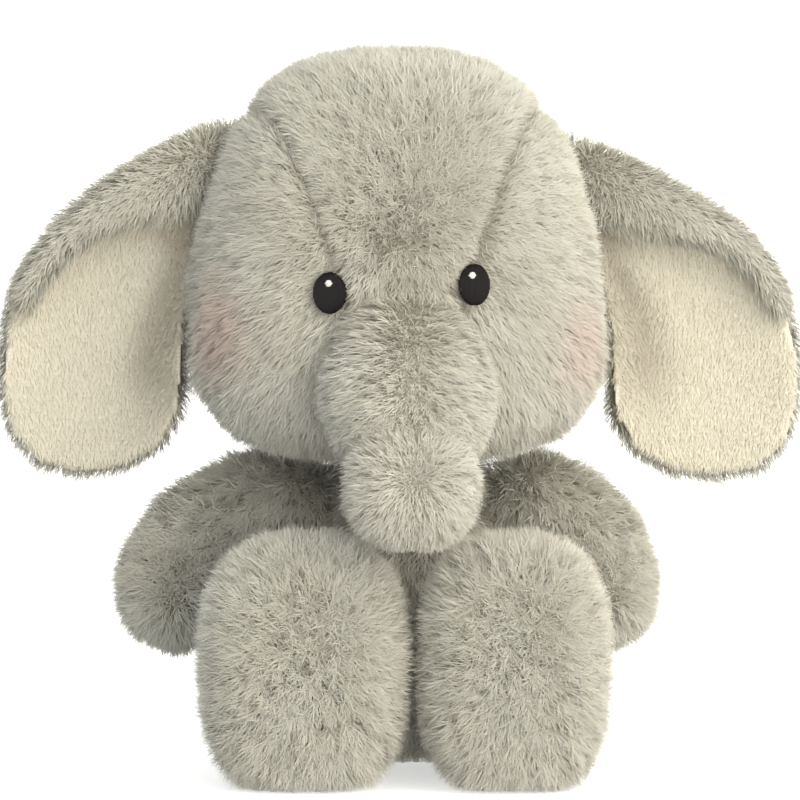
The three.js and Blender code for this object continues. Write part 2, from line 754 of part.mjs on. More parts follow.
addMesh(torso, "body_stuffing", "stuffing", cut(bodyStuffing(), bagRoom, ...bodyOpenings));
const labelEdge = bodyPoint(rad(LABEL.angle), LABEL.bottom, 0);
const label = new THREE.BoxGeometry(LABEL.wide, LABEL.thick, LABEL.tall)
  .translate(-LABEL.wide / 2 - LABEL.off, 0, LABEL.tall / 2)
  .rotateZ(rad(LABEL.turn))
  .translate(labelEdge.x, labelEdge.y, LABEL.bottom);
addMesh(torso, "care_label", "label", label);
for (const [side, sign] of sides) {
  buildArm(limbs, side, sign);
  buildLeg(limbs, side, sign);
}
buildTail(elephant);

export default elephant;
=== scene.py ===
"""A sitting stuffed elephant: sewn skins swollen by their filling, and a long combed pile on every one."""

import json
import math

import bmesh
import bpy
import numpy as np
from mathutils import Matrix, Vector, noise
from mathutils.bvhtree import BVHTree


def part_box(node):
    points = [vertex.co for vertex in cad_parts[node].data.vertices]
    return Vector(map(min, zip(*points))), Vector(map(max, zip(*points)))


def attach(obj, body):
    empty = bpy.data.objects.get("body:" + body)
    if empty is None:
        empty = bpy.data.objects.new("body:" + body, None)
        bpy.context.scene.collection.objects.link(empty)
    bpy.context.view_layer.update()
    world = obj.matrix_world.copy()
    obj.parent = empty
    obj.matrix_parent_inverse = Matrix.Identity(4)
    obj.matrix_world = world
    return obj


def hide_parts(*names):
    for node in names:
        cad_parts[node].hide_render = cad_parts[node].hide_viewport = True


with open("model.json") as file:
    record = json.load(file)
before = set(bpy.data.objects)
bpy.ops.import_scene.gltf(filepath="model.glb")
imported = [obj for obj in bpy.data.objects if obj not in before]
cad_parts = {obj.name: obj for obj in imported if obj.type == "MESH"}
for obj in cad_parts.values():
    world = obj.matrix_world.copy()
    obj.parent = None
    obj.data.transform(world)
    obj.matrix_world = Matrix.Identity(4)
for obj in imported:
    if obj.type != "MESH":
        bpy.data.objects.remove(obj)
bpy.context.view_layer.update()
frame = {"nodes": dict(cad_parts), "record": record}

MM = 0.001
SIDES = ("left", "right")

# The pile stands on a knitted backing that lies this far under each sewn panel's outer face.
BACKING_DEPTH = 2.6 * MM
PILE_LENGTH = 8.6 * MM
PILE_PER_M2 = 3.5e6
STRAND_WIDTH = 0.35 * MM
TUFT_SIZE = 2.9 * MM
# How strongly the combing lays a strand over.
COMB_STRENGTH = 0.62

# Skins and strands keep this far above the floor.
SKIN_ABOVE_FLOOR = 0.3 * MM
STRAND_ABOVE_FLOOR = 0.2 * MM

# A stuffing is grown this far to reach the panels round it.
STUFFING_GROWTH = 2.6 * MM
# The distance to the nearest seam of a skin that has none.
NO_SEAM = 1.0


# ---- small helpers


def linear(code):
    """An sRGB hex colour as linear red, green, blue and alpha."""
    parts = [int(code[i : i + 2], 16) / 255 for i in (1, 3, 5)]
    return [c / 12.92 if c <= 0.04045 else ((c + 0.055) / 1.055) ** 2.4 for c in parts] + [1.0]


def add(tree, kind, inputs=None, **settings):
    """Adds a node with its inputs, as numbers or as the nodes or sockets that feed them, and its settings."""
    node = tree.nodes.new(kind)
    for key, value in settings.items():
        setattr(node, key, value)
    for key, value in (inputs or {}).items():
        if isinstance(key, int):
            socket = node.inputs[key]
        else:
            socket = next(s for s in node.inputs if s.name == key and s.enabled)
        if isinstance(value, bpy.types.Node):
            value = next(s for s in value.outputs if s.enabled)
        if isinstance(value, bpy.types.NodeSocket):
            tree.links.new(value, socket)
        else:
            socket.default_value = value
    return node


def show(name, data):
    """A new object of that mesh, light or camera, in the scene."""
    piece = bpy.data.objects.new(name, data)
    bpy.context.scene.collection.objects.link(piece)
    return piece


def finished_mesh(piece):
    """The piece's mesh with its modifiers worked out, as a plain mesh."""
    graph = bpy.context.evaluated_depsgraph_get()
    return bpy.data.meshes.new_from_object(piece.evaluated_get(graph))


def subdivide(piece):
    """Works a piece's mesh out again at twice the fineness."""
    finer = piece.modifiers.new("finer", "SUBSURF")
    finer.levels = finer.render_levels = 1
    mesh = finished_mesh(piece)
    piece.modifiers.clear()
    piece.data = mesh


def shade_smooth(mesh):
    mesh.polygons.foreach_set("use_smooth", [True] * len(mesh.polygons))


def make_of(mesh, finish):
    """Gives a mesh one material."""
    mesh.materials.clear()
    mesh.materials.append(finish)


def drop_attributes(mesh, names):
    for name in names:
        if mesh.attributes.get(name):
            mesh.attributes.remove(mesh.attributes[name])


def vectors_of(rows, key):
    flat = np.empty(len(rows) * 3, np.float32)
    rows.foreach_get(key, flat)
    return flat.reshape(-1, 3).astype(np.float64)


def points_of(mesh):
    return vectors_of(mesh.vertices, "co")


def normals_of(mesh):
    return vectors_of(mesh.vertex_normals, "vector")


def move_points(mesh, points):
    mesh.vertices.foreach_set("co", points.astype(np.float32).ravel())
    mesh.update()


def relaxed(mesh, points, rounds, share=0.5):
    """The points drawn to the middle of their neighbours and back out, so that steps go and the size stays."""
    pairs = np.empty(len(mesh.edges) * 2, np.int32)
    mesh.edges.foreach_get("vertices", pairs)
    a, b = pairs.reshape(-1, 2).T
    count = np.bincount(np.r_[a, b], minlength=len(points))[:, None]
    for step in [share, -1.04 * share] * rounds:
        total = np.zeros_like(points)
        np.add.at(total, a, points[b])
        np.add.at(total, b, points[a])
        points = points + step * (total / np.maximum(count, 1) - points)
    return points


def merged(node, grow=0.0):
    """A copy of a CAD node's mesh with its loose triangles joined, grown outwards by some metres."""
    net = bmesh.new()
    net.from_mesh(frame["nodes"][node].data)
    bmesh.ops.remove_doubles(net, verts=net.verts, dist=0.01 * MM)
    copy = bpy.data.meshes.new(node + "_copy")
    net.to_mesh(copy)
    net.free()
    if grow:
        move_points(copy, points_of(copy) + grow * normals_of(copy))
    return copy


def joined(name, meshes, hull=False):
    """One mesh of several, or the smallest bulging shape that holds them all."""
    net = bmesh.new()
    for mesh in meshes:
        net.from_mesh(mesh)
    if hull:
        made = bmesh.ops.convex_hull(net, input=net.verts, use_existing_faces=False)
        spare = {g for key in ("geom_interior", "geom_unused") for g in made[key]}
        bmesh.ops.delete(net, geom=[g for g in spare if isinstance(g, bmesh.types.BMVert)], context="VERTS")
        net.faces.ensure_lookup_table()
        bmesh.ops.delete(net, geom=[e for e in net.edges if not e.link_faces], context="EDGES")
    mesh = bpy.data.meshes.new(name)
    net.to_mesh(mesh)
    net.free()
    return mesh


def tree_of(mesh):
    return BVHTree.FromPolygons([v.co for v in mesh.vertices], [p.vertices[:] for p in mesh.polygons])


def ramp(value, low, high):
    """0 below low, 1 above high, and a smooth rise between."""
    t = np.clip((value - low) / (high - low), 0, 1)
    return t * t * (3 - 2 * t)


def bulge(values, middle_at, width):
    """1 at the middle, falling away smoothly on both sides of it."""
    return np.exp(-(((values - middle_at) / width) ** 2))


def gap_to(points, centre):
    """How far each point is from a centre."""
    return np.linalg.norm(points - centre, axis=1)


def along_skin(vectors, normals):
    """What is left of a vector, or of each of many, when its part along the normal is taken away."""
    return vectors - (vectors * normals).sum(1, keepdims=True) * normals


def away_from(points, normals, centre, soft):
    """A combing away from a point on the skin, which fades within soft of it."""
    flat = along_skin(points - np.array(centre), normals)
    return flat / (np.linalg.norm(flat, axis=1, keepdims=True) + soft)


def box_of(node):
    """The low and the high corner of a CAD node's box."""
    return np.array(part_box(node))


def middle(node):
    low, high = box_of(node)
    return (low + high) / 2


# ---- sewn skins


class Skin:
    """A sewn skin: the knitted backing of one stuffed part, and how its pile lies."""

    def __init__(self, name, body, panels, fillings=(), voxel=4.0 * MM, depth=BACKING_DEPTH, hull=False):
        self.body = body
        self.panels = panels
        parts = [merged(p) for p in panels] + [merged(f, STUFFING_GROWTH) for f in fillings]
        source = show(name, joined(name, parts, hull))
        remesh = source.modifiers.new("even_cells", "REMESH")
        remesh.mode = "VOXEL"
        remesh.voxel_size = voxel
        mesh = finished_mesh(source)
        bpy.data.objects.remove(source)
        mesh.name = name
        points = relaxed(mesh, points_of(mesh), 3)
        move_points(mesh, points)
        move_points(mesh, relaxed(mesh, points - depth * normals_of(mesh), 3, 0.3))
        self.piece = show(name, mesh)
        self.edges = [tree_of(merged(p)) for p in panels]

    def find_seams(self):
        """Which panel each point belongs to, and how far it is from the nearest other panel."""
        points = points_of(self.piece.data)
        gaps = np.array([[tree.find_nearest(Vector(p))[3] for p in points] for tree in self.edges])
        order = np.argsort(gaps, axis=0)
        self.panel = order[0]
        if len(gaps) > 1:
            self.seam = np.take_along_axis(gaps, order[1:2], 0)[0]
        else:
            self.seam = np.full(len(points), NO_SEAM)

    def measure(self):
        """Keeps the shape that the skin has now, for the pile."""
        self.points = points_of(self.piece.data)
        self.normals = normals_of(self.piece.data)
        self.tree = tree_of(self.piece.data)


HEAD_PANELS = ["head_centre_gusset", "head_side_left", "head_side_right"]
TORSO_PANELS = ["body_front", "body_back_left", "body_back_right", "seat_panel"]

skins = {
    "head": Skin("head_plush", "head", HEAD_PANELS, hull=True, depth=0.4 * MM),
    "torso": Skin("torso_plush", "torso", TORSO_PANELS, hull=True, depth=1.0 * MM),
    "trunk": Skin(
        "trunk_plush", "trunk", ["trunk_panel_left", "trunk_panel_right"], ["trunk_stuffing"], depth=0.6 * MM
    ),
    "tail": Skin("tail_plush", "tail", ["tail"], voxel=2.5 * MM, depth=2.6 * MM),
    # The neck opening's own gathered plush, seen only when the head nods or turns.
    "neck": Skin("neck_plush", "neck", ["neck_stuffing"], voxel=3.0 * MM, depth=0.6 * MM),
}
for side in SIDES:
    skins["ear_" + side] = Skin(
        f"ear_{side}_plush", f"ear_{side}", [f"ear_outer_{side}"], voxel=1.8 * MM, depth=1.1 * MM
    )
    skins["lining_" + side] = Skin(
        f"ear_{side}_lining", f"ear_{side}", [f"ear_lining_{side}"], voxel=1.5 * MM, depth=0.0
    )
    skins["arm_" + side] = Skin(
        f"arm_{side}_plush",
        f"arm_{side}",
        [f"arm_front_{side}", f"arm_back_{side}"],
        [f"arm_stuffing_{side}"],
        depth=-0.6 * MM,
    )
    skins["leg_" + side] = Skin(
        f"leg_{side}_plush",
        f"leg_{side}",
        [f"leg_inner_{side}", f"leg_outer_{side}", f"foot_sole_{side}"],
        [f"leg_stuffing_{side}"],
    )

SWOLLEN = ["head", "torso", "trunk", "tail", "arm_left", "arm_right", "leg_left", "leg_right"]


CLOTH = {"quality": 4, "mass": 0.15, "bending_stiffness": 0.6, "use_pressure": True}
CLOTH |= {"tension_stiffness": 12, "compression_stiffness": 12}
# The cloth is held this near to a seam, and this near to the floor.
HELD_AT_SEAM = 2.5 * MM
HELD_AT_FLOOR = 6 * MM


def swell(names, frames=20, pressure=4.0, reach=2.2 * MM):
    """The filling presses each skin out as a cloth held at its seams, no point further than reach."""
    starts = {}
    for name in names:
        skin = skins[name]
        skin.find_seams()
        starts[name] = points_of(skin.piece.data)
        held = skin.piece.vertex_groups.new(name="held")
        for i in np.flatnonzero((skin.seam < HELD_AT_SEAM) | (starts[name][:, 2] < HELD_AT_FLOOR)):
            held.add([int(i)], 1.0, "REPLACE")
        cloth = skin.piece.modifiers.new("filling", "CLOTH")
        for key, value in CLOTH.items():
            setattr(cloth.settings, key, value)
        cloth.settings.uniform_pressure_force = pressure
        cloth.settings.vertex_group_mass = "held"
        cloth.settings.effector_weights.gravity = 0
        cloth.collision_settings.use_collision = False
        cloth.point_cache.frame_start = 1
        cloth.point_cache.frame_end = frames
    for number in range(1, frames + 1):
        bpy.context.scene.frame_set(number)
    for name in names:
        piece = skins[name].piece
        after = points_of(finished_mesh(piece))
        piece.modifiers.clear()
        piece.vertex_groups.clear()
        step = after - starts[name]
        size = np.linalg.norm(step, axis=1, keepdims=True)
        step *= np.minimum(1, reach / np.maximum(size, 1e-9))
        move_points(piece.data, relaxed(piece.data, starts[name] + step, 1, 0.3))
    bpy.context.scene.frame_set(1)


swell(SWOLLEN)

# How far each seam draws its skin in, and how wide the crease is. The soles' seams are lost in the pile.
SEAM_DEPTH = {"head": 2.3 * MM, "leg_left": 0.3 * MM, "leg_right": 0.3 * MM, "trunk": 0.3 * MM}
PLAIN_SEAM_DEPTH = 1.2 * MM
SEAM_WIDTH = 2.2 * MM

# How far the pile pulls each eye over.
EYE_SHIFT = {"left": (-0.8 * MM, 0, 0.9 * MM), "right": (-1.5 * MM, 0, 0.9 * MM)}
EYES = {side: middle("eye_" + side) + np.array(EYE_SHIFT[side]) for side in SIDES}


# The way the trunk runs below its fold: forwards and down.
TRUNK_WAY = np.array([0, -0.63, -0.776])


def shape_trunk(mesh):
    """The trunk's thick upper half and its round end, with the fold between them."""
    low, high = box_of("trunk_panel_left")
    fold = np.array([0, high[1] - 41.5 * MM, low[2] + 29.6 * MM])
    points, normals = points_of(mesh), normals_of(mesh)
    ahead = (points - fold) @ TRUNK_WAY
    end, upper = 1.3 * bulge(ahead, 12 * MM, 8 * MM), 0.8 * bulge(ahead, -13 * MM, 8 * MM)
    reach = end + upper - 4.6 * bulge(ahead, 0, 3.2 * MM)
    move_points(mesh, points + reach[:, None] * MM * normals)


def hollow_eyes(mesh):
    """The stitching of the eyes pulls the face in a little round them."""
    points, normals = points_of(mesh), normals_of(mesh)
    for centre in EYES.values():
        points -= (2.3 * MM * bulge(gap_to(points, centre), 0, 9 * MM))[:, None] * normals
    move_points(mesh, points)


def rolled_edge(from_root, down):
    """The inner edge of an ear rolls forwards below the root: the roll, and the hollow beside it."""
    roll = 12 * MM * ramp(down, 0.38, 0.72) ** 0.6
    hollow = roll + 13 * MM
    shown = ramp(down, 0.3, 0.45) * (1 - ramp(down, 0.68, 0.95))
    return bulge(from_root, roll, 6.5 * MM) * shown, bulge(from_root, hollow, 8 * MM) * shown


def ear_shares(side, points):
    """How far a point of an ear lies from the ear's root, and how far down it as a share of its height."""
    low, high = box_of("ear_outer_" + side)
    from_root = high[0] - points[:, 0] if side == "left" else points[:, 0] - low[0]
    return from_root, (high[2] - points[:, 2]) / (high[2] - low[2])


# How far each ear is stretched outwards, and how far it and its root hang down.
EAR_HANG = {"left": (1.035, 0.0, 0.0), "right": (1.05, 2.8 * MM, 3.0 * MM)}
EAR_DROP = 1.02  # how much longer both ears are than their patterns
LINING_REACH = np.array([1.08, 1.0, 1.05])  # how much a lining is stretched towards the rim
# How wide each leg is flattened across, and how far it is pushed towards +X.
LEG_SQUASH = {"left": (1.055, -1.9 * MM), "right": (0.945, 0.8 * MM)}


def shape_leg(side):
    """The left leg is pressed a little wider than the right one."""
    mesh = skins["leg_" + side].piece.data
    points = points_of(mesh)
    centre = (points[:, 0].min() + points[:, 0].max()) / 2
    wide, push = LEG_SQUASH[side]
    points[:, 0] = centre + push + (points[:, 0] - centre) * wide
    move_points(mesh, points)


def shape_ear(side):
    """The ear's inner edge curls forwards into a soft ridge, and its lining reaches almost to the rim."""
    low, high = box_of("ear_outer_" + side)
    sign, root = (-1, high[0]) if side == "left" else (1, low[0])
    for name in ("ear_" + side, "lining_" + side):
        mesh = skins[name].piece.data
        points = points_of(mesh)
        if name.startswith("lining"):
            centre = (points.min(0) + points.max(0)) / 2
            points = centre + (points - centre) * LINING_REACH
        from_root, down = ear_shares(side, points)
        rolled, hollow = rolled_edge(from_root, down)
        points[:, 1] += (4.5 * hollow - 8 * rolled) * MM
        behind = (1 - ramp(from_root, 0, 9 * MM)) * ramp(down, 0.45, 0.6) * (1 - ramp(down, 0.85, 1.0))
        points[:, 1] += 8 * MM * behind
        # The root is drawn in against the side of the head, and the edge below it lies close to the cheek.
        top = (1 - ramp(down, 0.02, 0.3)) * (1 - ramp(from_root, 2 * MM, 26 * MM))
        edge = ramp(down, 0.3, 0.5) * (1 - ramp(from_root, 8 * MM, 45 * MM))
        points[:, 0] -= sign * (7 * top + 2.5 * edge) * MM
        points[:, 2] += 2.5 * MM * top
        stretch, hang, root_hang = EAR_HANG[side]
        points[:, 0] = root + (points[:, 0] - root) * stretch
        points[:, 2] = high[2] - EAR_DROP * (high[2] - points[:, 2]) - hang
        near_root = (1 - ramp(from_root, 32 * MM, 58 * MM)) * (1 - ramp(down, 0.2, 0.5))
        points[:, 2] -= root_hang * near_root
        move_points(mesh, points)


shape_trunk(skins["trunk"].piece.data)
hollow_eyes(skins["head"].piece.data)
for side in SIDES:
    shape_ear(side)
    shape_leg(side)

for name, skin in skins.items():
    if name in SWOLLEN:
        subdivide(skin.piece)
    skin.find_seams()
    mesh = skin.piece.data
    crease = SEAM_DEPTH.get(name, PLAIN_SEAM_DEPTH) * bulge(skin.seam, 0, SEAM_WIDTH)
    points = points_of(mesh) - crease[:, None] * normals_of(mesh)
    points[:, 2] = np.maximum(points[:, 2], SKIN_ABOVE_FLOOR)
    move_points(mesh, points)
    shade_smooth(mesh)
    skin.measure()


# ---- how the pile is combed


DOWN = np.array([0.0, 0.0, -1.0])
HEAD_LOW, HEAD_HIGH = box_of("head_centre_gusset")
# Where the pile of the face parts, above the trunk and between the eyes.
BRIDGE = (EYES["left"] + EYES["right"]) / 2 + np.array([-2.5, 0, 14.0]) * MM
trunk_low, trunk_right = box_of("trunk_panel_left")[0], box_of("trunk_panel_right")[1]
TRUNK_TIP = np.array([(trunk_low[0] + trunk_right[0]) / 2 + 1.4 * MM, trunk_low[1], trunk_low[2] + 22 * MM])


def comb_head(skin):
    """Away from the bridge of the nose, and a little down."""
    lay = away_from(skin.points, skin.normals, BRIDGE, 9 * MM)
    return lay + 0.3 * along_skin(DOWN, skin.normals)


def comb_trunk(skin):
    """Down the trunk and out to its sides, and away from the middle of its end."""
    p, n = skin.points, skin.normals
    tip = away_from(p, n, TRUNK_TIP, 1.6 * MM)
    near = bulge(gap_to(p, TRUNK_TIP), 0, 24 * MM)[:, None]
    across = np.tanh((p[:, 0] - TRUNK_TIP[0]) / (10 * MM))
    run = np.stack([across * 0.9, np.zeros(len(p)), 0.7 * np.abs(across) - 1.25], 1)
    return near * tip + (1 - near) * along_skin(run, n)


def comb_leg(side):
    """Away from the middle of the sole, all the way up the leg."""
    sole = middle("foot_sole_" + side)
    whorl = [sole[0], box_of("foot_sole_" + side)[0][1], sole[2] + 4 * MM]
    return lambda skin: away_from(skin.points, skin.normals, whorl, 20 * MM)


def comb_arm(side):
    """Down the arm to the hand, and away from the middle of the hand."""
    low, high = box_of("arm_front_" + side)
    outer, inner = (low[0], high[0]) if side == "left" else (high[0], low[0])
    hand = np.array([outer + 0.27 * (inner - outer), low[1], low[2] + 15 * MM])
    along = np.array([outer - inner, 0, low[2] - high[2]])
    along /= np.linalg.norm(along)

    def comb(skin):
        p, n = skin.points, skin.normals
        near = bulge(gap_to(p, hand), 0, 22 * MM)[:, None]
        return near * away_from(p, n, hand, 3 * MM) + (1 - near) * 0.9 * along_skin(along, n)

    return comb


def comb_torso(skin):
    """Down, and a little out to both sides."""
    across = 0.35 * np.tanh((skin.points[:, 0] - 3.5 * MM) / (15 * MM))
    run = np.stack([across, np.zeros(len(across)), np.full(len(across), -0.9)], 1)
    return along_skin(run, skin.normals)


def comb_down(strength):
    return lambda skin: strength * along_skin(DOWN, skin.normals)


def comb_ear(side):
    """Away from the ear's root, and a little down."""
    low, high = box_of("ear_outer_" + side)
    root = np.array([high[0] if side == "left" else low[0], (low[1] + high[1]) / 2, high[2] - 15 * MM])

    def comb(skin):
        away = away_from(skin.points, skin.normals, root, 8 * MM)
        return 0.9 * away + 0.25 * along_skin(DOWN, skin.normals)

    return comb


def trim_round_eyes(skin, length, lay, density):
    """Trims the pile round the embroidered eyes and brushes it off them."""
    for centre in EYES.values():
        across, _, up = (skin.points - centre).T
        gap = np.hypot(across / (5.4 * MM), up / (6.8 * MM))
        gap[skin.points[:, 1] > centre[1] + 16 * MM] = 9  # the back of the head
        near = 1 - ramp(gap, 1.0, 2.0)
        length *= 1 - 0.68 * near
        lay += near[:, None] * 0.8 * away_from(skin.points, skin.normals, centre, 1 * MM)
        density *= ramp(gap, 0.8, 0.95)


# How each skin is combed, and the length of its pile as a share of the longest.
PILE_RULES = {
    "head": (comb_head, 1.0),
    "torso": (comb_torso, 1.0),
    "trunk": (comb_trunk, 0.88),
    "tail": (comb_down(0.9), 0.7),
    "neck": (comb_down(0.9), 0.6),
}
for side in SIDES:
    PILE_RULES["ear_" + side] = (comb_ear(side), 0.64)
    PILE_RULES["lining_" + side] = (comb_down(1.1), 0.3)
    PILE_RULES["arm_" + side] = (comb_arm(side), 0.92)
    PILE_RULES["leg_" + side] = (comb_leg(side), 1.0)


# How deep under another skin a point is bare, and how near an ear's two skins lie at the rim.
BARE_DEPTH = 3.0 * MM
RIM_GAP = 5 * MM
RIM_REACH = 3.5 * MM


def covered(skin, name):
    """True where a point of the skin is under another skin, where no pile would show."""
    hidden = np.zeros(len(skin.points), bool)
    if name == "neck":
        return hidden
    thin = name.startswith(("ear", "lining"))
    for other in skins.values():
        if other is skin:
            continue
        low, high = other.points.min(0) - BARE_DEPTH, other.points.max(0) + BARE_DEPTH
        close = np.flatnonzero(((skin.points > low) & (skin.points < high)).all(1))
        paired = thin and other.body == skin.body
        for i in close:
            point = Vector(skin.points[i])
            place, normal, _, gap = other.tree.find_nearest(point)
            if (point - place).dot(normal) < 0 and (paired or gap > BARE_DEPTH):
                hidden[i] = True
            elif paired and gap < RIM_GAP:
                ray = Vector(skin.normals[i])
                hidden[i] |= other.tree.ray_cast(point + ray * 0.05 * MM, ray, RIM_REACH)[0] is not None
    return hidden


def write_attribute(mesh, name, values, kind="FLOAT"):
    made = mesh.attributes.get(name) or mesh.attributes.new(name, kind, "POINT")
    key = "vector" if kind == "FLOAT_VECTOR" else "value"
    made.data.foreach_set(key, np.asarray(values, np.float32).ravel())


# The worn patch between the eyes: its middle and its half size, with noise in two sizes.
PARTING = BRIDGE + np.array([-2.0, 0, -4.0]) * MM
PARTING_SIZE = np.array([14, 40, 14]) * MM


def patchiness(point):
    return noise.noise(Vector(point) * 90) + 0.6 * noise.noise(Vector(point) * 240)


for name, skin in skins.items():
    comb, share = PILE_RULES[name]
    lay = comb(skin)
    length = np.full(len(skin.points), share)
    density = np.ones(len(skin.points))
    parted = np.zeros(len(skin.points))
    if len(skin.panels) > 1:
        near_seam = 1 - ramp(skin.seam, 0.5 * MM, 5 * MM)
        shown = {"head": 1.1, "trunk": 0.18}.get(name, 0.15 if name.startswith("leg") else 0.6)
        length *= 1 - 0.45 * shown * near_seam
        parted = np.maximum(parted, 0.5 * shown * near_seam)
    if name == "head":
        trim_round_eyes(skin, length, lay, density)
        offset = np.linalg.norm((skin.points - PARTING) / PARTING_SIZE, axis=1)
        patchy = np.array([patchiness(p) for p in skin.points])
        spot = np.clip((1 - ramp(offset, 0.3, 1.25)) * (0.62 + 1.1 * patchy), 0, 1)
        length *= 1 - 0.35 * spot
        lay *= (1 - 0.7 * spot)[:, None]
        parted = np.maximum(parted, 0.9 * spot)
    density[covered(skin, name)] = 0
    # Only a few strands where the toy sits on the floor.
    density[(skin.points[:, 2] < 2.5 * MM) & (skin.normals[:, 2] < -0.6)] *= 0.15
    if name == "torso":
        density *= 0.75
    if name == "trunk":
        # The pile is worn shorter where it parts, down the middle and on the end.
        seam_off = np.abs(skin.points[:, 0] - TRUNK_TIP[0])
        tip_off = gap_to(skin.points, TRUNK_TIP)
        length *= 1 - 0.5 * np.maximum(bulge(seam_off, 0, 9 * MM), bulge(tip_off, 0, 11 * MM))
    if name.startswith("ear"):
        length *= 1 + 0.5 * (1 - np.abs(skin.normals[:, 1])) ** 1.5
    if name.startswith("lining"):
        # Painted shade: the lining's nap is coloured darker in the hollow beside the rolled edge, a little on
        # the roll, and deep under the fold next to the head.
        from_root, down = ear_shares(name.removeprefix("lining_"), skin.points)
        rolled, hollow = rolled_edge(from_root + 1.5 * MM, down)
        deep = (1 - ramp(from_root, 9 * MM, 30 * MM)) * (1 - ramp(down, 0.3, 0.44))
        parted = np.clip(0.7 * hollow**1.5 + 0.3 * rolled + 0.9 * deep, 0, 1)
    skin.density = density
    write_attribute(skin.piece.data, "pile_length", length)
    write_attribute(skin.piece.data, "parted", parted)
    write_attribute(skin.piece.data, "pile_comb", COMB_STRENGTH * lay, "FLOAT_VECTOR")


# ---- finishes


def new_material(name, colour, roughness, **numbers):
    """A Principled material with its plain values set on the shader, and its node tree for patterns."""
    made = bpy.data.materials.new(name)
    made.use_nodes = True
    shader = made.node_tree.nodes["Principled BSDF"]
    shader.inputs["Base Color"].default_value = linear(colour)
    shader.inputs["Roughness"].default_value = roughness
    for key, value in numbers.items():
        shader.inputs[key.replace("_", " ")].default_value = value
    return made, made.node_tree, shader


def colour_mix(tree, share, first, second):
    """The colour between two, by a share."""
    inputs = {"Factor": share, "A": first, "B": second}
    return add(tree, "ShaderNodeMix", inputs, data_type="RGBA", clamp_factor=True).outputs["Result"]


def place_of(tree):
    """Where on the object a point is, in metres, for a pattern of real size."""
    return add(tree, "ShaderNodeTexCoord").outputs["Object"]


def carried(tree, name):
    """A number that the strands carry."""
    return add(tree, "ShaderNodeAttribute", attribute_name=name).outputs["Fac"]


def mapped(tree, source, low, high, first=0.0, last=1.0, **settings):
    """A number that goes from first to last as the source goes from low to high."""
    inputs = {0: source, 1: low, 2: high, 3: first, 4: last}
    return add(tree, "ShaderNodeMapRange", inputs, **settings).outputs[0]


def tinted(tree, colour, source, most, code, low=0.0, high=1.0):
    """The colour with another laid on it, by a share that rises to most with the source."""
    return colour_mix(tree, mapped(tree, source, low, high, 0.0, most), colour, linear(code))


def raise_by(tree, shader, pattern, strength, distance):
    """Lets a pattern stand up from the surface."""
    bump = add(tree, "ShaderNodeBump", {"Strength": strength, "Distance": distance, "Height": pattern})
    tree.links.new(bump.outputs[0], shader.inputs["Normal"])


def two_tone(tree, shader, pattern, first, second):
    """Colours a material from one tone to the other with a pattern."""
    tree.links.new(colour_mix(tree, pattern, linear(first), linear(second)), shader.inputs["Base Color"])


def plush_finish():
    """Tipped acrylic faux fur, brushed after knitting: dark at the root, pale and slightly shiny at the tip."""
    shine = {"Specular_IOR_Level": 0.3, "Sheen_Weight": 0.25, "Sheen_Roughness": 0.5}
    made, tree, shader = new_material("acrylic_faux_fur_brushed", "#c4c0b2", 0.85, **shine)
    shader.inputs["Sheen Tint"].default_value = linear("#f4f1e8")
    rise = add(tree, "ShaderNodeValToRGB", {"Fac": carried(tree, "along")})
    rise.color_ramp.elements[0].color = linear("#b3b0a3")
    rise.color_ramp.elements[1].color = linear("#e6e4da")
    mid = rise.color_ramp.elements.new(0.45)
    mid.color = linear("#d5d4c9")
    place = place_of(tree)
    # Broad patches about 25 mm across, where the brushing took the pile a little darker or warmer.
    patch = add(tree, "ShaderNodeTexNoise", {"Vector": place, "Scale": 40.0, "Detail": 2.0}).outputs["Fac"]
    colour = tinted(tree, rise.outputs["Color"], patch, 0.22, "#c3bca7", 0.35, 0.65)
    colour = tinted(tree, colour, carried(tree, "shade"), 0.12, "#aca697")
    colour = tinted(tree, colour, carried(tree, "parted"), 0.6, "#8f8674")
    for centre, share in BLUSHES:
        offset = add(tree, "ShaderNodeVectorMath", {0: place, 1: centre}, operation="DISTANCE").outputs["Value"]
        near = mapped(tree, offset, 4 * MM, 27 * MM, share, 0.0, interpolation_type="SMOOTHSTEP")
        colour = colour_mix(tree, near, colour, linear("#dcb0a6"))
    tree.links.new(colour, shader.inputs["Base Color"])
    return made


# The middle of the blush on each cheek, and its strength.
head_middle = (HEAD_LOW[1] + HEAD_HIGH[1]) / 2
BLUSHES = [
    ((HEAD_LOW[0] - 13 * MM, head_middle - 36 * MM, HEAD_LOW[2] + 27 * MM), 0.36),
    ((HEAD_HIGH[0] + 19 * MM, head_middle - 30 * MM, HEAD_LOW[2] + 20 * MM), 0.26),
]


def lining_finish():
    """Short cream plush, sheared: an even, matt nap with almost no tip shine, and painted shade in its folds.
    """
    name = "polyester_short_plush_sheared"
    shine = {"Specular_IOR_Level": 0.25, "Sheen_Weight": 0.3, "Sheen_Roughness": 0.6}
    made, tree, shader = new_material(name, "#e6e0cc", 0.9, **shine)
    colour = colour_mix(tree, carried(tree, "along"), linear("#eae5d2"), linear("#f7f2e2"))
    colour = tinted(tree, colour, carried(tree, "shade"), 0.2, "#cdc7b4")
    # Painted shade: darker in the hollow beside the ear's rolled edge, on the roll and under the fold.
    colour = tinted(tree, colour, carried(tree, "parted"), 0.7, "#a0937f")
    tree.links.new(colour, shader.inputs["Base Color"])
    return made


def knit_finish(name, dark, light):
    """Warp-knitted polyester backing: rows of loops 1.2 mm apart, dull, seen only where the pile parts."""
    made, tree, shader = new_material(name, light, 0.95)
    inputs = {"Vector": place_of(tree), "Scale": 260.0, "Distortion": 2.0, "Detail": 1.0}
    rows = add(tree, "ShaderNodeTexWave", inputs, bands_direction="Z").outputs["Fac"]
    two_tone(tree, shader, rows, dark, light)
    raise_by(tree, shader, rows, 0.4, 0.2 * MM)
    return made


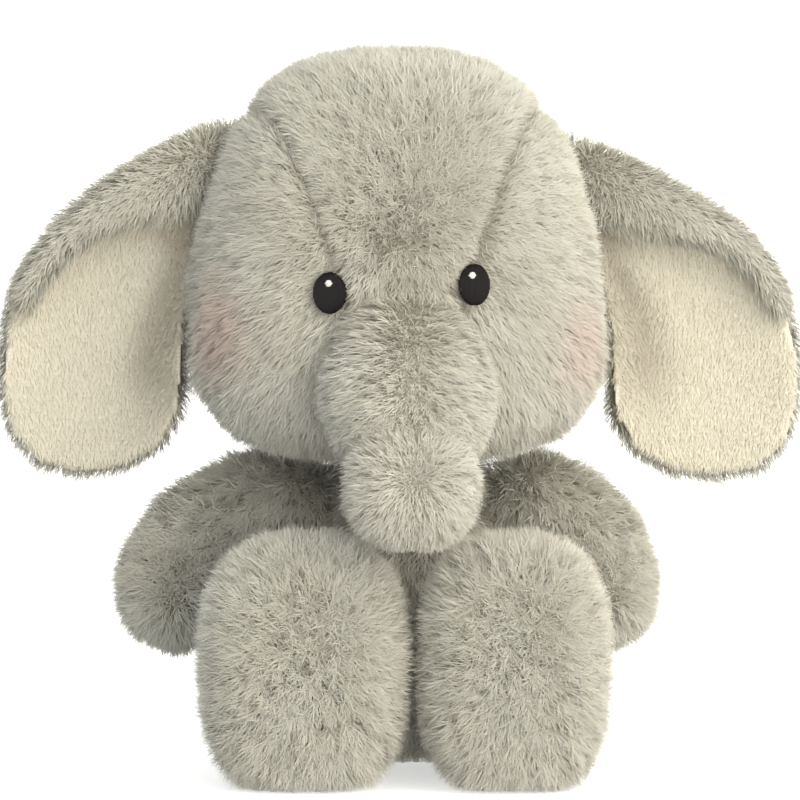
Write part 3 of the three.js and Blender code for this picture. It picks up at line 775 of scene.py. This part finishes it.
def wadding_finish():
    """Carded polyester fibre: white, soft and tangled, drawn as a tangle about 2 mm across."""
    made, tree, shader = new_material("polyester_fibre_wadding_carded", "#eeeeea", 1.0)
    inputs = {"Vector": place_of(tree), "Scale": 420.0, "Detail": 4.0, "Distortion": 1.5}
    tangle = add(tree, "ShaderNodeTexNoise", inputs).outputs["Fac"]
    two_tone(tree, shader, tangle, "#dcdcd6", "#f6f6f3")
    raise_by(tree, shader, tangle, 0.8, 0.6 * MM)
    return made


def thread_finish(name, colour, edge):
    """Twisted rayon embroidery thread: filaments laid side by side, with a soft shine along them."""
    made, tree, shader = new_material(name, colour, 0.5, Specular_IOR_Level=0.2)
    inputs = {"Vector": place_of(tree), "Scale": 2200.0, "Detail": 1.0}
    two_tone(tree, shader, add(tree, "ShaderNodeTexNoise", inputs).outputs["Fac"], colour, edge)
    return made


def calico_finish():
    """Plain-woven cotton calico for the pellet bag: an even weave of threads about 0.5 mm apart."""
    made, tree, shader = new_material("cotton_calico_plain_woven", "#d9d2c0", 0.9)
    inputs = {"Vector": place_of(tree), "Scale": 900.0, "Mortar Size": 0.04}
    inputs.update({"Color1": linear("#ddd6c4"), "Color2": linear("#d2cab6"), "Mortar": linear("#a9a18e")})
    weave = add(tree, "ShaderNodeTexBrick", inputs)
    tree.links.new(weave.outputs["Color"], shader.inputs["Base Color"])
    return made


def label_finish():
    """Woven polyester satin ribbon: floats across the width every 0.4 mm, with a silky shine."""
    made, tree, shader = new_material("polyester_satin_woven", "#f2f1ec", 0.35, Sheen_Weight=0.4)
    inputs = {"Vector": place_of(tree), "Scale": 780.0, "Distortion": 0.5}
    floats = add(tree, "ShaderNodeTexWave", inputs, bands_direction="Z").outputs["Fac"]
    two_tone(tree, shader, floats, "#e4e2da", "#f6f5f1")
    raise_by(tree, shader, floats, 0.2, 0.1 * MM)
    return made


PLUSH = plush_finish()
LINING = lining_finish()
KNIT = knit_finish("polyester_warp_knit_backing", "#a8a395", "#bdb8aa")
CREAM_KNIT = knit_finish("polyester_warp_knit_cream", "#dfd8c4", "#ece6d6")
WADDING = wadding_finish()
BLACK_THREAD = thread_finish("rayon_thread_black_twisted", "#0b0909", "#191515")
WHITE_THREAD = thread_finish("rayon_thread_white_twisted", "#f4f3ef", "#dddcd6")
CALICO = calico_finish()
SATIN = label_finish()


# ---- what the Geometry Nodes trees share


def started_tree(name, takes, numbers, gives):
    """A tree with a geometry in and out, its numbers, a seed and a finish, and what its inputs give."""
    tree = bpy.data.node_groups.new(name, "GeometryNodeTree")
    sockets = [(takes, "Geometry")] + [(label, "Float") for label in numbers]
    for label, kind in sockets + [("Seed", "Int"), ("Finish", "Material")]:
        tree.interface.new_socket(label, in_out="INPUT", socket_type="NodeSocket" + kind)
    tree.interface.new_socket(gives, in_out="OUTPUT", socket_type="NodeSocketGeometry")
    return tree, tree.nodes.new("NodeGroupInput").outputs


def ended_tree(tree, geometry, finish):
    """Smooths what a tree made, and hands it out in its finish."""
    smooth = add(tree, "GeometryNodeSetShadeSmooth", {"Geometry": geometry})
    done = add(tree, "GeometryNodeSetMaterial", {"Geometry": smooth, "Material": finish})
    tree.links.new(done.outputs[0], tree.nodes.new("NodeGroupOutput").inputs[0])
    return tree


def maths_in(tree):
    """Functions that add a node to the tree: any sum, a product, and a vector of three numbers."""

    def math_of(how, a, b=0.0, c=0.0):
        return add(tree, "ShaderNodeMath", {0: a, 1: b, 2: c}, operation=how)

    def times(a, b):
        return math_of("MULTIPLY", a, b)

    def vector(x=0.0, y=0.0, z=0.0):
        return add(tree, "ShaderNodeCombineXYZ", {0: x, 1: y, 2: z})

    return math_of, times, vector


def parts_of(tree, vector):
    """The three numbers of a vector."""
    return add(tree, "ShaderNodeSeparateXYZ", {0: vector}).outputs


def worked_out(piece, tree, values):
    """Runs a Geometry Nodes tree on a piece and returns what it made as a plain mesh."""
    modifier = piece.modifiers.new(tree.name, "NODES")
    modifier.node_group = tree
    for item in tree.interface.items_tree:
        if item.in_out == "INPUT" and item.name in values:
            modifier[item.identifier] = values[item.name]
    mesh = finished_mesh(piece)
    piece.modifiers.remove(modifier)
    return mesh


# ---- the pile

# What the tree takes for plain plush.
PLAIN = {
    "Strands per square metre": PILE_PER_M2,
    "Strand length": PILE_LENGTH,
    "Strand width": STRAND_WIDTH,
    "Tuft size": TUFT_SIZE,
    "Tuft pull": 0.5,
    "Raggedness": 0.5,
    "Bend": 0.4,
}


def strand_tree():
    """Sows bent, tapered strands on a skin, gathers them in tufts and combs them by its attributes."""
    tree, given = started_tree("combed_pile", "Skin", PLAIN, "Pile")
    math_of, times, vector = maths_in(tree)

    def field(name, kind="FLOAT"):
        return add(tree, "GeometryNodeInputNamedAttribute", {"Name": name}, data_type=kind)

    def vector_of(how, a, b):
        return add(tree, "ShaderNodeVectorMath", {0: a, 1: b}, operation=how)

    def scaled(a, scale):
        return add(tree, "ShaderNodeVectorMath", {0: a, "Scale": scale}, operation="SCALE")

    def chance(low, high, seed):
        kind = "FLOAT_VECTOR" if isinstance(low, tuple) else "FLOAT"
        inputs = {"Min": low, "Max": high, "Seed": seed}
        return add(tree, "FunctionNodeRandomValue", inputs, data_type=kind)

    def wandering(scale, strength):
        """A vector that changes slowly from place to place."""
        waves = add(tree, "ShaderNodeTexNoise", {"Vector": place, "Scale": scale, "Detail": 1.0})
        return scaled(vector_of("SUBTRACT", waves.outputs["Color"], (0.5, 0.5, 0.5)), strength)

    seed = given["Seed"]
    density = times(field("pile_density"), given["Strands per square metre"])
    inputs = {"Mesh": given["Skin"], "Density": density, "Seed": seed}
    sown = add(tree, "GeometryNodeDistributePointsOnFaces", inputs, distribute_method="RANDOM")
    normal = sown.outputs["Normal"]
    place = add(tree, "GeometryNodeInputPosition")

    # Tufts: each strand leans to the middle of its own cell.
    cell_scale = math_of("DIVIDE", 1.0, given["Tuft size"])
    cells = add(tree, "ShaderNodeTexVoronoi", {"Vector": place, "Scale": cell_scale})
    to_middle = vector_of("SUBTRACT", cells.outputs["Position"], place)
    pull = scaled(to_middle, math_of("DIVIDE", given["Tuft pull"], given["Tuft size"]))
    # A slow drift of the combing from place to place, about 14 mm across, and a quick one about 4 mm across.
    drift, quick = wandering(70.0, 1.5), wandering(260.0, 1.6)
    stray = chance((-0.5, -0.5, -0.5), (0.5, 0.5, 0.5), seed)
    loose = scaled(vector_of("ADD", vector_of("ADD", drift, quick), stray), given["Raggedness"])
    comb = field("pile_comb", "FLOAT_VECTOR")
    lean = vector_of("ADD", vector_of("ADD", comb, pull), loose)
    way = vector_of("NORMALIZE", vector_of("ADD", normal, lean), (0, 0, 0))
    bend_way = vector_of("ADD", vector_of("ADD", comb, scaled(stray, 0.9)), (0, 0, -0.12))
    inputs = {"Primary Axis": way, "Secondary Axis": bend_way}
    turn = add(tree, "FunctionNodeAxesToRotation", inputs, primary_axis="Z", secondary_axis="Y")
    # Each tuft has its own length too, so that their tips overlap like shingles.
    cell_size = math_of("MULTIPLY_ADD", parts_of(tree, cells.outputs["Color"])[0], 0.16, 0.92)
    length = times(field("pile_length"), given["Strand length"])
    length = times(length, times(chance(0.84, 1.08, seed), cell_size))
    width = times(given["Strand width"], chance(0.75, 1.25, math_of("ADD", seed, 3)))
    size = vector(width, length, length)
    # How dark a strand is: partly its tuft's, partly its own.
    own_shade = times(chance(0.0, 1.0, seed), 0.55)
    shade = math_of("MULTIPLY_ADD", cells.outputs["Color"], 0.45, own_shade)

    def stored(geometry, name, value, kind="FLOAT", domain="POINT"):
        inputs = {"Geometry": geometry, "Name": name, "Value": value}
        return add(tree, "GeometryNodeStoreNamedAttribute", inputs, data_type=kind, domain=domain)

    points = stored(sown.outputs["Points"], "shade", shade)
    points = stored(points, "strand", add(tree, "GeometryNodeInputIndex"), "INT")

    # One strand: a strip one wide and one long, narrowed to a point and bent over towards its tip.
    grid = {"Size X": 1.0, "Size Y": 1.0, "Vertices X": 2, "Vertices Y": 3}
    strip = add(tree, "GeometryNodeMeshGrid", grid)
    spot = parts_of(tree, place)
    along = math_of("ADD", spot["Y"], 0.5)
    strip = stored(strip, "along", along)
    strip_uv = vector(math_of("ADD", spot["X"], 0.5), along)
    strip = stored(strip, "OFBake", strip_uv, "FLOAT2", "CORNER")
    height = field("along")
    squared = times(height, height)
    narrow = times(spot["X"], math_of("SUBTRACT", 1.0, squared))
    bent = times(squared, given["Bend"])
    rise = math_of("SUBTRACT", height, times(squared, times(given["Bend"], 0.35)))
    inputs = {"Geometry": strip, "Position": vector(narrow, bent, rise)}
    strip = add(tree, "GeometryNodeSetPosition", inputs)
    strip = add(tree, "GeometryNodeMergeByDistance", {"Geometry": strip, "Distance": 0.001})

    inputs = {"Points": points, "Instance": strip, "Rotation": turn, "Scale": size}
    pile = add(tree, "GeometryNodeInstanceOnPoints", inputs)
    pile = add(tree, "GeometryNodeRealizeInstances", {"Geometry": pile})
    # Nothing goes through the floor.
    where = parts_of(tree, place)
    above = vector(where["X"], where["Y"], math_of("MAXIMUM", where["Z"], STRAND_ABOVE_FLOOR))
    pile = add(tree, "GeometryNodeSetPosition", {"Geometry": pile, "Position": above})
    # Each strand has its own small cell in the bake layout.
    count = add(tree, "GeometryNodeAttributeDomainSize", {"Geometry": points}, component="POINTCLOUD")
    rows = math_of("CEIL", math_of("SQRT", count.outputs["Point Count"]))
    number = field("strand", "INT")
    column = math_of("MODULO", number, rows)
    row = math_of("FLOOR", math_of("DIVIDE", number, rows))
    cell = vector(column, row)
    inner = vector_of("MULTIPLY_ADD", field("OFBake", "FLOAT_VECTOR"), (0.8, 0.8, 0))
    inner.inputs[2].default_value = (0.1, 0.1, 0)
    layout = scaled(vector_of("ADD", cell, inner), math_of("DIVIDE", 1.0, rows))
    pile = stored(pile, "OFBake", layout, "FLOAT2", "CORNER")
    return ended_tree(tree, pile, given["Finish"])


PILE_TREE = strand_tree()


def grow_pile(name, skin, density, seed, finish, changes):
    """The pile on a skin, or on the share of it that density gives, as one piece on the skin's body."""
    sower = show(name + "_sower", skin.piece.data.copy())
    write_attribute(sower.data, "pile_density", density)
    mesh = worked_out(sower, PILE_TREE, {**PLAIN, "Seed": seed, "Finish": finish, **changes})
    bpy.data.objects.remove(sower)
    mesh.name = name
    drop_attributes(mesh, ("pile_density", "pile_length", "pile_comb", "strand", "id"))
    piece = show(name, mesh)
    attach(piece, skin.body)
    return piece


SHAGGY = {
    "Strand length": 1.12 * PILE_LENGTH,
    "Tuft size": 3.7 * MM,
    "Tuft pull": 0.62,
    "Raggedness": 0.62,
}
SMOOTH = {
    "Tuft size": 2.6 * MM,
    "Tuft pull": 0.3,
    "Raggedness": 0.34,
}
SHORT = {
    "Strands per square metre": 4.2e6,
    "Strand width": 0.4 * MM,
    "Tuft size": 5 * MM,
    "Tuft pull": 0.06,
    "Raggedness": 0.12,
    "Bend": 0.5,
}

# How the pile of a skin differs from plain plush, by the first word of the skin's name.
CHANGES = {"torso": SHAGGY, "leg": SHAGGY, "arm": SHAGGY, "ear": SMOOTH, "lining": SHORT}
GROWN_BY_PANEL = ("head", "torso", "leg_left", "leg_right")

seed = 1
for name, skin in skins.items():
    shares = {name: skin.density}
    if name in GROWN_BY_PANEL:
        shares = {panel: skin.density * (skin.panel == number) for number, panel in enumerate(skin.panels)}
    first_word = name.split("_")[0]
    finish = LINING if first_word == "lining" else PLUSH
    for label, share in shares.items():
        pile = grow_pile("pile_" + label, skin, share, seed, finish, CHANGES.get(first_word, {}))
        "ear_lining_fabric" if "lining" in pile.name else "plush_fabric"
        seed += 10


# ---- skins: the bodies they ride on, their finishes, and the CAD panels they hide

for name, skin in skins.items():
    drop_attributes(skin.piece.data, ("pile_length", "pile_comb", "parted"))
    make_of(skin.piece.data, CREAM_KNIT if name.startswith("lining") else KNIT)
    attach(skin.piece, skin.body)
    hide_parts(*skin.panels)


# ---- embroidered eyes


def stitch_tree():
    """Satin stitches laid side by side over an oval pad, each one drawn down into the cloth at both ends."""
    numbers = ("Half width", "Half height", "Thread width", "Pad height", "Unevenness")
    tree, given = started_tree("satin_stitches", "Cloth", numbers, "Stitches")
    math_of, times, vector = maths_in(tree)
    width = times(given["Half width"], 2.0)
    count = math_of("CEIL", math_of("DIVIDE", width, times(given["Thread width"], 0.8)))
    step = math_of("DIVIDE", width, math_of("SUBTRACT", count, 1.0))
    first = vector(times(given["Half width"], -1.0))
    inputs = {"Count": count, "Start Location": first, "Offset": vector(step)}
    row = add(tree, "GeometryNodeMeshLine", inputs)
    spot = parts_of(tree, add(tree, "GeometryNodeInputPosition"))
    share = math_of("DIVIDE", spot["X"], times(given["Half width"], 1.04))
    half = math_of("SQRT", math_of("MAXIMUM", math_of("SUBTRACT", 1.0, times(share, share)), 0.02))
    inputs = {"Min": math_of("SUBTRACT", 1.0, given["Unevenness"]), "Max": 1.0, "Seed": given["Seed"]}
    uneven = add(tree, "FunctionNodeRandomValue", inputs, data_type="FLOAT")
    half = times(times(half, given["Half height"]), uneven)
    radius = times(given["Thread width"], 0.5)
    inputs = {"Vertices": 8, "Side Segments": 10, "Radius": 1.0, "Depth": 2.0}
    thread = add(tree, "GeometryNodeMeshCylinder", inputs)
    inputs = {"Points": row, "Instance": thread.outputs["Mesh"], "Scale": vector(radius, radius, half)}
    laid = add(tree, "GeometryNodeInstanceOnPoints", inputs)
    laid = add(tree, "GeometryNodeRealizeInstances", {"Geometry": laid})
    # The pad under the stitches lifts them in the middle, and the needle draws them in at the rim.
    across = math_of("DIVIDE", spot["X"], given["Half width"])
    up = math_of("DIVIDE", spot["Z"], given["Half height"])
    rim = math_of("ADD", times(across, across), times(up, up))
    dome = math_of("SQRT", math_of("MAXIMUM", math_of("SUBTRACT", 1.06, rim), 0.0))
    lifted = times(dome, times(given["Pad height"], -1.0))
    laid = add(tree, "GeometryNodeSetPosition", {"Geometry": laid, "Offset": vector(0.0, lifted)})
    return ended_tree(tree, laid, given["Finish"])


STITCH_TREE = stitch_tree()
HEAD_TREE = tree_of(joined("head_outside", [merged(p) for p in HEAD_PANELS], hull=True))


def facing(point):
    """The head's outside nearest a point, as a frame whose -Y looks out of it."""
    place, normal, _, _ = HEAD_TREE.find_nearest(Vector(point))
    out = -normal.normalized()
    side_way = out.cross(Vector((0, 0, 1))).normalized()
    up = side_way.cross(out)
    turn = Matrix((side_way, out, up)).transposed()
    return Matrix.Translation(place) @ turn.to_4x4()


def stitched(name, at, half_size, pad, lift, finish, seed):
    """A padded oval of satin stitches on the head, lifted by the pile."""
    blank = show(name + "_blank", bpy.data.meshes.new(name + "_blank"))
    blank.data.from_pydata([(0, 0, 0)], [], [])
    values = {
        "Half width": half_size[0],
        "Half height": half_size[1],
        "Thread width": 0.5 * MM,
        "Pad height": pad,
        "Unevenness": 0.04,
        "Seed": seed,
        "Finish": finish,
    }
    mesh = worked_out(blank, STITCH_TREE, values)
    bpy.data.objects.remove(blank)
    mesh.name = name
    mesh.transform(facing(at) @ Matrix.Translation((0, -lift, 0)))
    piece = show(name, mesh)
    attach(piece, "head")
    return piece


HIGHLIGHT_SIZE = (1.05 * MM, 1.15 * MM)
HIGHLIGHT_SEED = 5

for number, side in enumerate(SIDES):
    low, high = box_of("eye_" + side)
    half = (high - low) / 2
    eye_size = (half[0] + 0.05 * MM, half[2] + 0.6 * MM)
    eye = stitched("stitched_eye_" + side, EYES[side], eye_size, 1.6 * MM, 1.9 * MM, BLACK_THREAD, number)
    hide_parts("eye_" + side)
    dot = middle("eye_highlight_" + side) + np.array(EYE_SHIFT[side])
    name, seed = "stitched_highlight_" + side, number + HIGHLIGHT_SEED
    spark = stitched(name, dot, HIGHLIGHT_SIZE, 0.5 * MM, 3.4 * MM, WHITE_THREAD, seed)
    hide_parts("eye_highlight_" + side)


# ---- what is inside the skins


# Two waves, about 12 mm long, whose product makes a filling lumpy.
LUMP_WAVES = np.array([[410.0, 270, 190], [-150.0, 330, 450]])


def packed(name, node, body, depth, lumps, finish):
    """A soft filling a little smaller than its CAD solid, with a lumpy outside."""
    piece = show(name, merged(node))
    subdivide(piece)
    points, normals = points_of(piece.data), normals_of(piece.data)
    ripple = np.sin(points @ LUMP_WAVES[0]) * np.sin(points @ LUMP_WAVES[1])
    move_points(piece.data, points - (depth + lumps * ripple)[:, None] * normals)
    shade_smooth(piece.data)
    make_of(piece.data, finish)
    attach(piece, body)
    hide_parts(node)
    return piece


for body, held in frame["record"]["behaviour"]["bodies"].items():
    for node in held:
        if "stuffing" in node and node != "neck_stuffing":
            name = "wadding_" + node.replace("_stuffing", "")
            packed(name, node, body, 2.4 * MM, 0.5 * MM, WADDING)
        elif "pellet" in node:
            packed("pellet_pouch", node, body, 0.8 * MM, 0.3 * MM, CALICO)
        elif "label" in node:
            make_of(frame["nodes"][node].data, SATIN)


# ---- floor, light and camera


# The paper sweep: how far it reaches each way, and how high it is turned up there.
PAPER_REACH, PAPER_RISE = 26.0, 9.0
# The camera: how far away it is, how far it looks down, and how wide a strip it shows there.
VIEW_DISTANCE, VIEW_TILT, VIEW_WIDTH = 7.0, math.radians(6.5), 0.264
VIEW_AIM = Vector((0, -0.030, 0.1256))
FILM_WIDTH = 36.0


def stage_setting():
    """A paper sweep, a soft room with five softboxes, and the camera."""
    # The paper is flat, and turned up far away, so that a low view never looks past its edge.
    floor_mesh = bpy.data.meshes.new("floor")
    corners = [(x * PAPER_REACH, y * PAPER_REACH) for x, y in ((-1, -1), (1, -1), (1, 1), (-1, 1))]
    points = [(x, y, z) for z in (0, PAPER_RISE) for x, y in corners]
    walls = [(i, i + 4, (i + 1) % 4 + 4, (i + 1) % 4) for i in range(4)]
    floor_mesh.from_pydata(points, [], [(0, 1, 2, 3)] + walls)
    floor = show("floor", floor_mesh)
    paper, _, shader = new_material("paper_sweep_matt", "#f7f7f7", 1.0)
    shader.inputs["Emission Color"].default_value = linear("#ffffff")
    shader.inputs["Emission Strength"].default_value = 0.55
    floor_mesh.materials.append(paper)
    floor.visible_diffuse = False

    world = bpy.data.worlds.new("soft_room")
    bpy.context.scene.world = world
    world.use_nodes = True
    tree = world.node_tree
    back = tree.nodes["Background"]
    # Soft walls: warm and bright on the right, cooler and dimmer on the left, and darker below.
    way = parts_of(tree, add(tree, "ShaderNodeTexCoord").outputs["Generated"])
    walls = colour_mix(tree, mapped(tree, way["X"], -0.8, 0.8), (0.52, 0.55, 0.57, 1), (1.52, 1.50, 1.42, 1))
    tree.links.new(walls, back.inputs["Color"])
    tree.links.new(mapped(tree, way["Z"], -0.7, 0.6, 0.42), back.inputs["Strength"])

    def softbox(name, place, aim, size, watts, colour):
        light = bpy.data.lights.new(name, "AREA")
        light.shape = "SQUARE"
        light.size = size
        light.energy = watts
        light.color = linear(colour)[:3]
        lamp = show(name, light)
        lamp.location = place
        lamp.rotation_euler = (Vector(aim) - Vector(place)).to_track_quat("-Z", "Y").to_euler()

    softbox("key_right", (1.2, -1.2, 1.1), (0, 0, 0.1), 1.1, 14.0, "#fff4e5")
    softbox("fill_front", (0.7, -2.3, 0.16), (0, 0, 0.05), 1.0, 27.0, "#fffaf0")
    softbox("fill_low", (-0.7, -2.0, 0.05), (-0.03, 0, 0.07), 0.5, 5.5, "#fffaf0")
    softbox("fill_left", (-1.3, -1.3, 0.5), (0, 0, 0.06), 1.0, 1.5, "#e8f0ff")
    softbox("fill_back", (-0.4, 2.2, 1.0), (0, 0, 0.1), 1.3, 11.0, "#fffaf2")

    camera = bpy.data.cameras.new("camera")
    eye = show("camera", camera)
    bpy.context.scene.camera = eye
    eye.location = VIEW_AIM + Vector((0, -math.cos(VIEW_TILT), math.sin(VIEW_TILT))) * VIEW_DISTANCE
    eye.rotation_euler = (VIEW_AIM - eye.location).to_track_quat("-Z", "Y").to_euler()
    camera.sensor_width = FILM_WIDTH
    camera.lens = FILM_WIDTH * VIEW_DISTANCE / VIEW_WIDTH
    camera.clip_end = 80
    bpy.context.scene.view_settings.view_transform = "Standard"


stage_setting()
